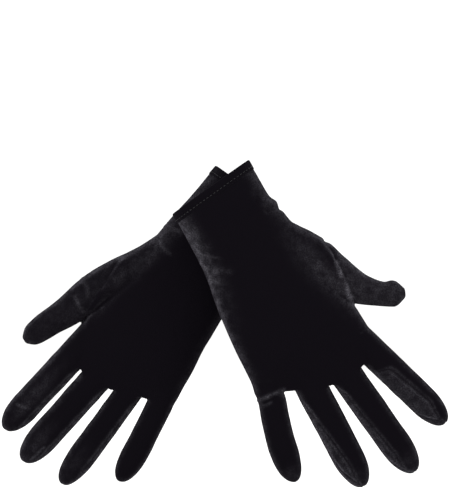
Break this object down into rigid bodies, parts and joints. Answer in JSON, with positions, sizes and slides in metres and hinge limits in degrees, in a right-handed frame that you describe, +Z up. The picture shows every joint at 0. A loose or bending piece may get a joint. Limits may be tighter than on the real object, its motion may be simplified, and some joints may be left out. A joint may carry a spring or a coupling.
{
  "type": "pair of wrist-length velvet gloves",
  "caption": "A crossed pair of black stretch-velvet wrist-length gloves with stitched hems, strips between the fingers and fingers, thumbs and knuckles that bend.",
  "frame": {"origin": "between the two crossed cuffs, where the wearer's wrists cross", "axes": "+Z up, fingers down; +X to the side the right glove's fingers point; the backs of both hands face -Y and the palms +Y"},
  "size_m": [0.2965, 0.0773, 0.217],
  "materials": {
    "velvet": "black stretch velvet, matte face on with a grey-lilac sheen at grazing angles",
    "strip_velvet": "the same velvet cut across the pile, a little lighter",
    "hem_velvet": "the same velvet turned in and stitched flat",
    "thread": "dark grey polyester stitching"
  },
  "bodies": {
    "right_hand": {"right_cuff_hem": "hem_velvet", "right_hem_thread": "thread", "right_back_panel": "velvet", "right_palm_panel": "velvet", "right_thumb_base_back": "velvet", "right_thumb_base_palm": "velvet"},
    "right_knuckles": {"right_knuckle_back": "velvet", "right_knuckle_palm": "velvet", "right_web_strip_index_middle": "strip_velvet", "right_web_strip_middle_ring": "strip_velvet", "right_web_strip_ring_little": "strip_velvet"},
    "right_index": {"right_index_back": "velvet", "right_index_outer_strip": "strip_velvet", "right_index_palm": "velvet"},
    "right_middle": {"right_middle_back": "velvet", "right_middle_inner_strip": "strip_velvet", "right_middle_outer_strip": "strip_velvet", "right_middle_palm": "velvet"},
    "right_ring": {"right_ring_back": "velvet", "right_ring_inner_strip": "strip_velvet", "right_ring_outer_strip": "strip_velvet", "right_ring_palm": "velvet"},
    "right_little": {"right_little_back": "velvet", "right_little_inner_strip": "strip_velvet", "right_little_palm": "velvet"},
    "right_thumb_tip": {"right_thumb_tip_back": "velvet", "right_thumb_tip_palm": "velvet"},
    "left_hand": {"left_cuff_hem": "hem_velvet", "left_hem_thread": "thread", "left_back_panel": "velvet", "left_palm_panel": "velvet", "left_thumb_base_back": "velvet", "left_thumb_base_palm": "velvet"},
    "left_knuckles": {"left_knuckle_back": "velvet", "left_knuckle_palm": "velvet", "left_web_strip_index_middle": "strip_velvet", "left_web_strip_middle_ring": "strip_velvet", "left_web_strip_ring_little": "strip_velvet"},
    "left_index": {"left_index_back": "velvet", "left_index_outer_strip": "strip_velvet", "left_index_palm": "velvet"},
    "left_middle": {"left_middle_back": "velvet", "left_middle_inner_strip": "strip_velvet", "left_middle_outer_strip": "strip_velvet", "left_middle_palm": "velvet"},
    "left_ring": {"left_ring_back": "velvet", "left_ring_inner_strip": "strip_velvet", "left_ring_outer_strip": "strip_velvet", "left_ring_palm": "velvet"},
    "left_little": {"left_little_back": "velvet", "left_little_inner_strip": "strip_velvet", "left_little_palm": "velvet"},
    "left_thumb_tip": {"left_thumb_tip_back": "velvet", "left_thumb_tip_palm": "velvet"}
  },
  "joints": [
    {"name": "gloves_apart", "type": "slide", "parent": "right_hand", "child": "left_hand", "axis": [0, 1, 0], "range_m": [0, 0.12]},
    {"name": "right_knuckle_bend", "type": "hinge", "parent": "right_hand", "child": "right_knuckles", "pos_m": [0.05513, -0.0061, -0.09678], "axis": [0.8141, 0, 0.5807], "range_deg": [0, 60]},
    {"name": "right_index_bend", "type": "hinge", "parent": "right_knuckles", "child": "right_index", "pos_m": [0.12463, -0.00053, -0.12347], "axis": [0.6955, 0, 0.7185], "range_deg": [0, 90]},
    {"name": "right_middle_bend", "type": "hinge", "parent": "right_knuckles", "child": "right_middle", "pos_m": [0.09936, -0.00383, -0.13844], "axis": [0.8149, 0, 0.5796], "range_deg": [0, 90]},
    {"name": "right_ring_bend", "type": "hinge", "parent": "right_knuckles", "child": "right_ring", "pos_m": [0.07254, -0.00476, -0.14747], "axis": [0.8834, 0, 0.4687], "range_deg": [0, 90]},
    {"name": "right_little_bend", "type": "hinge", "parent": "right_knuckles", "child": "right_little", "pos_m": [0.03895, -0.00699, -0.15236], "axis": [0.9665, 0, 0.2566], "range_deg": [0, 90]},
    {"name": "right_thumb_bend", "type": "hinge", "parent": "right_hand", "child": "right_thumb_tip", "pos_m": [0.09696, -0.00411, -0.05908], "axis": [0.2337, 0, 0.9723], "range_deg": [0, 60]},
    {"name": "left_knuckle_bend", "type": "hinge", "parent": "left_hand", "child": "left_knuckles", "pos_m": [-0.06184, 0.0316, -0.1079], "axis": [0.809, 0, -0.5878], "range_deg": [0, 60]},
    {"name": "left_index_bend", "type": "hinge", "parent": "left_knuckles", "child": "left_index", "pos_m": [-0.12008, 0.03428, -0.12544], "axis": [0.7337, 0, -0.6795], "range_deg": [0, 90]},
    {"name": "left_middle_bend", "type": "hinge", "parent": "left_knuckles", "child": "left_middle", "pos_m": [-0.10182, 0.03369, -0.13925], "axis": [0.7444, 0, -0.6678], "range_deg": [0, 90]},
    {"name": "left_ring_bend", "type": "hinge", "parent": "left_knuckles", "child": "left_ring", "pos_m": [-0.07772, 0.03126, -0.14952], "axis": [0.8082, 0, -0.5889], "range_deg": [0, 90]},
    {"name": "left_little_bend", "type": "hinge", "parent": "left_knuckles", "child": "left_little", "pos_m": [-0.05005, 0.02914, -0.15307], "axis": [0.8931, 0, -0.4499], "range_deg": [0, 90]},
    {"name": "left_thumb_bend", "type": "hinge", "parent": "left_hand", "child": "left_thumb_tip", "pos_m": [-0.11268, 0.03389, -0.07962], "axis": [0.554, 0, -0.8325], "range_deg": [0, 60]}
  ]
}
